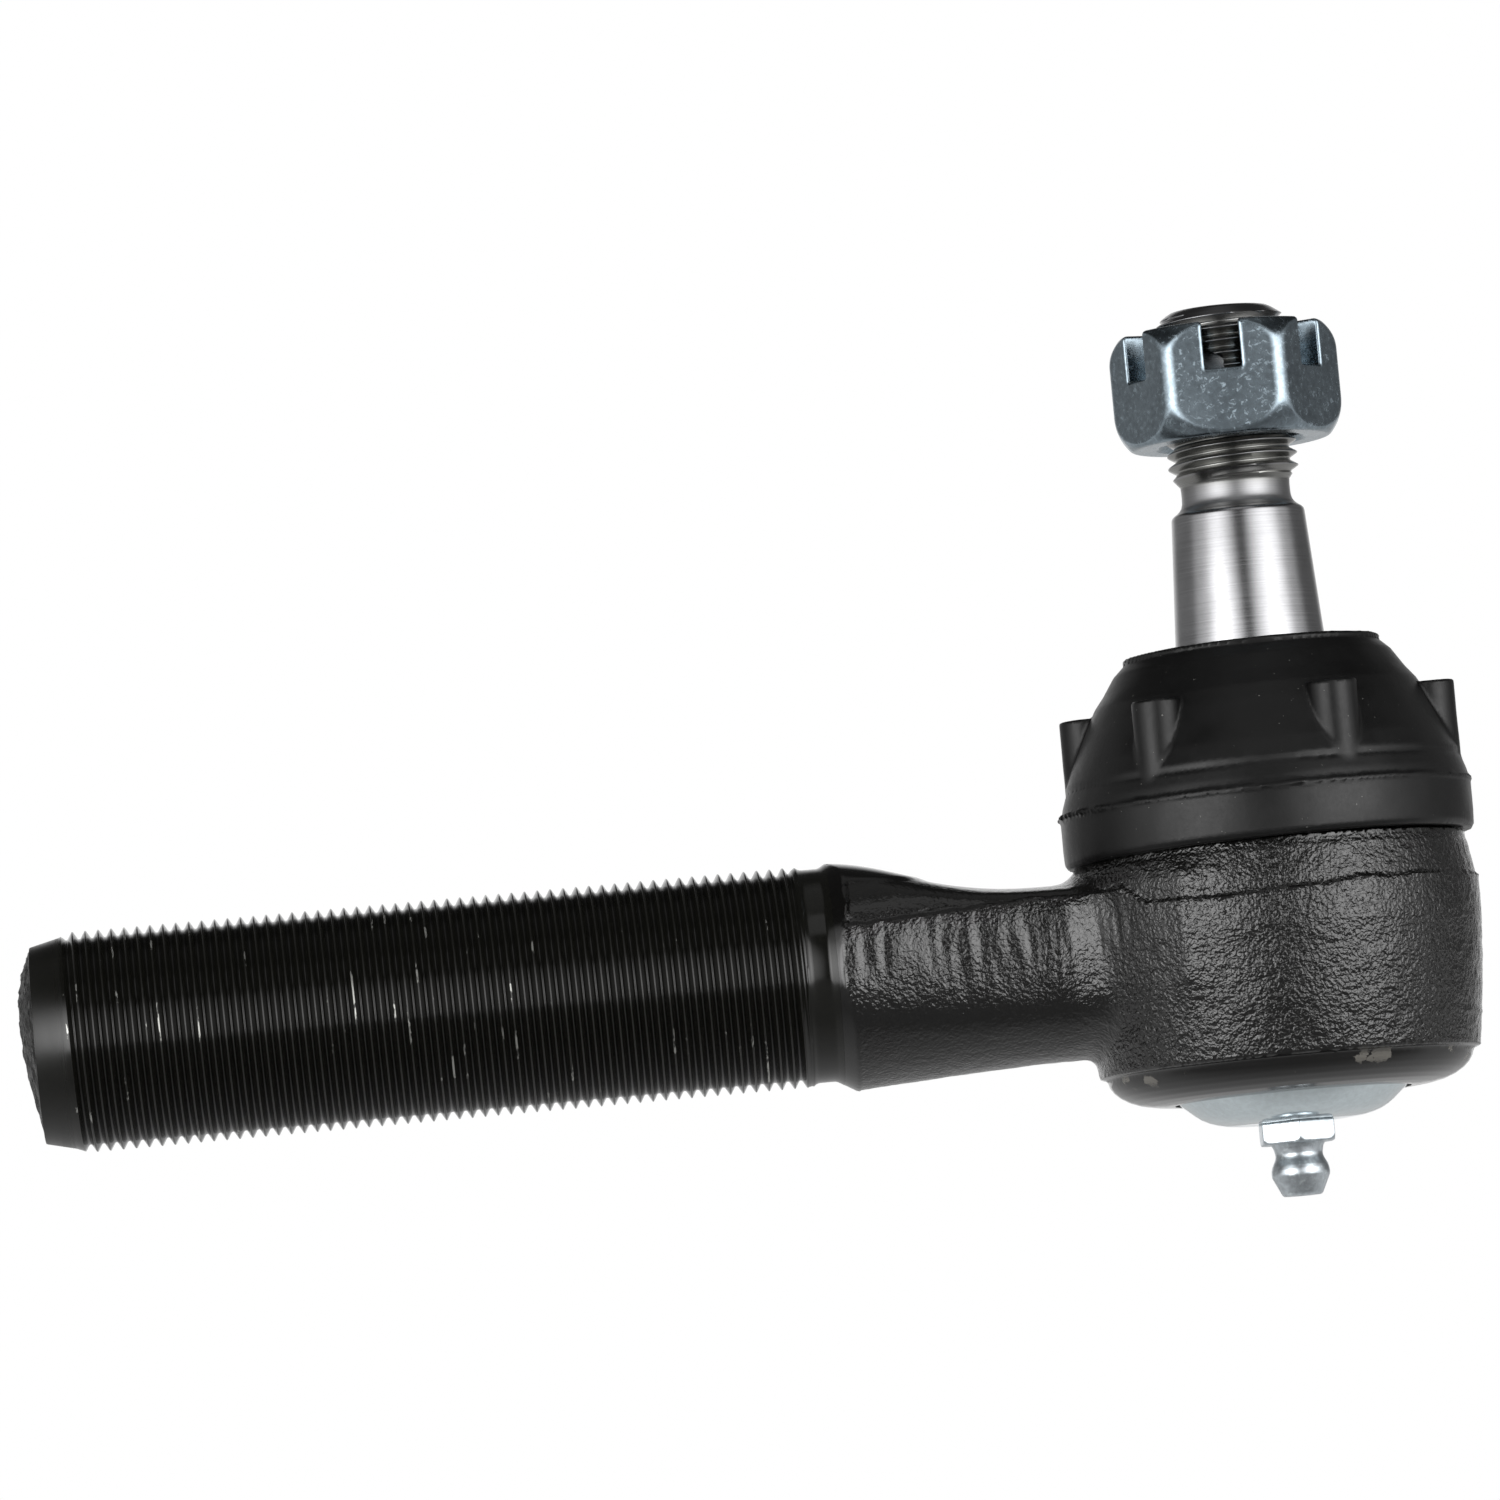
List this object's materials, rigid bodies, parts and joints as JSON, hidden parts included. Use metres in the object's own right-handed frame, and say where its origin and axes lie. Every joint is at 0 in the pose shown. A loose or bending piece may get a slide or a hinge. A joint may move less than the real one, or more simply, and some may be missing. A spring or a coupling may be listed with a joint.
{
  "type": "tie rod end",
  "caption": "Outer tie rod end: a ball stud with slotted nut and dust boot in a forged housing whose threaded shank screws into a steering adjusting sleeve.",
  "frame": {"origin": "centre of the ball, where the stud's axis at rest meets the shank's axis", "axes": "+Z along the ball stud towards its thread, -X along the threaded shank towards its free end, +Y to the side, away from the face of the nut whose middle is 5 degrees off -Y"},
  "size_m": [0.1603, 0.045, 0.0976],
  "materials": {
    "black_forging": "gloss black paint over a coarse forged skin, with bare metal chips on the thread crests",
    "zinc_plate": "bluish zinc plating, grainy",
    "bright_zinc": "bright bluish zinc plating",
    "spring_steel": "oiled spring steel",
    "bearing_polymer": "natural acetal, satin",
    "boot_rubber": "satin-matte moulded rubber with fine specks",
    "sintered_bearing": "oil-soaked sintered iron, dull",
    "stud_steel": "ground taper, rolled thread"
  },
  "bodies": {
    "housing": {"housing": "black_forging", "end_cover": "zinc_plate", "grease_fitting": "bright_zinc", "disc_spring": "spring_steel", "check_spring": "spring_steel"},
    "spring_seat": {"pressure_plate": "spring_steel", "lower_bearing": "bearing_polymer"},
    "boot": {"dust_boot": "boot_rubber"},
    "half_ball": {"half_ball_bearing": "sintered_bearing"},
    "stud": {"ball_stud": "stud_steel"},
    "nut": {"castle_nut": "zinc_plate"},
    "check_valve": {"check_ball": "spring_steel"}
  },
  "joints": [
    {"name": "seat_take_up", "type": "slide", "parent": "housing", "child": "spring_seat", "axis": [0, 0, 1], "range_m": [-0.0006, 0], "stiffness_N_per_m": 50000, "deforming": ["disc_spring"]},
    {"name": "swivel", "type": "hinge", "parent": "housing", "child": "boot", "pos_m": [0, 0, 0], "axis": [0, 0, 1], "continuous": true},
    {"name": "stud_tilt", "type": "hinge", "parent": "boot", "child": "half_ball", "pos_m": [0, 0, 0], "axis": [1, 0, 0], "range_deg": [-20, 20], "deforming": ["dust_boot"]},
    {"name": "stud_spin", "type": "hinge", "parent": "half_ball", "child": "stud", "pos_m": [0, 0, 0], "axis": [0, 0, 1], "continuous": true},
    {"name": "nut_run", "type": "slide", "parent": "stud", "child": "nut", "axis": [0, 0, 1], "range_m": [-0.0042, 0.016]},
    {"name": "check_lift", "type": "slide", "parent": "housing", "child": "check_valve", "axis": [0, 0, 1], "range_m": [0, 0.0008], "stiffness_N_per_m": 300, "deforming": ["check_spring"]}
  ]
}
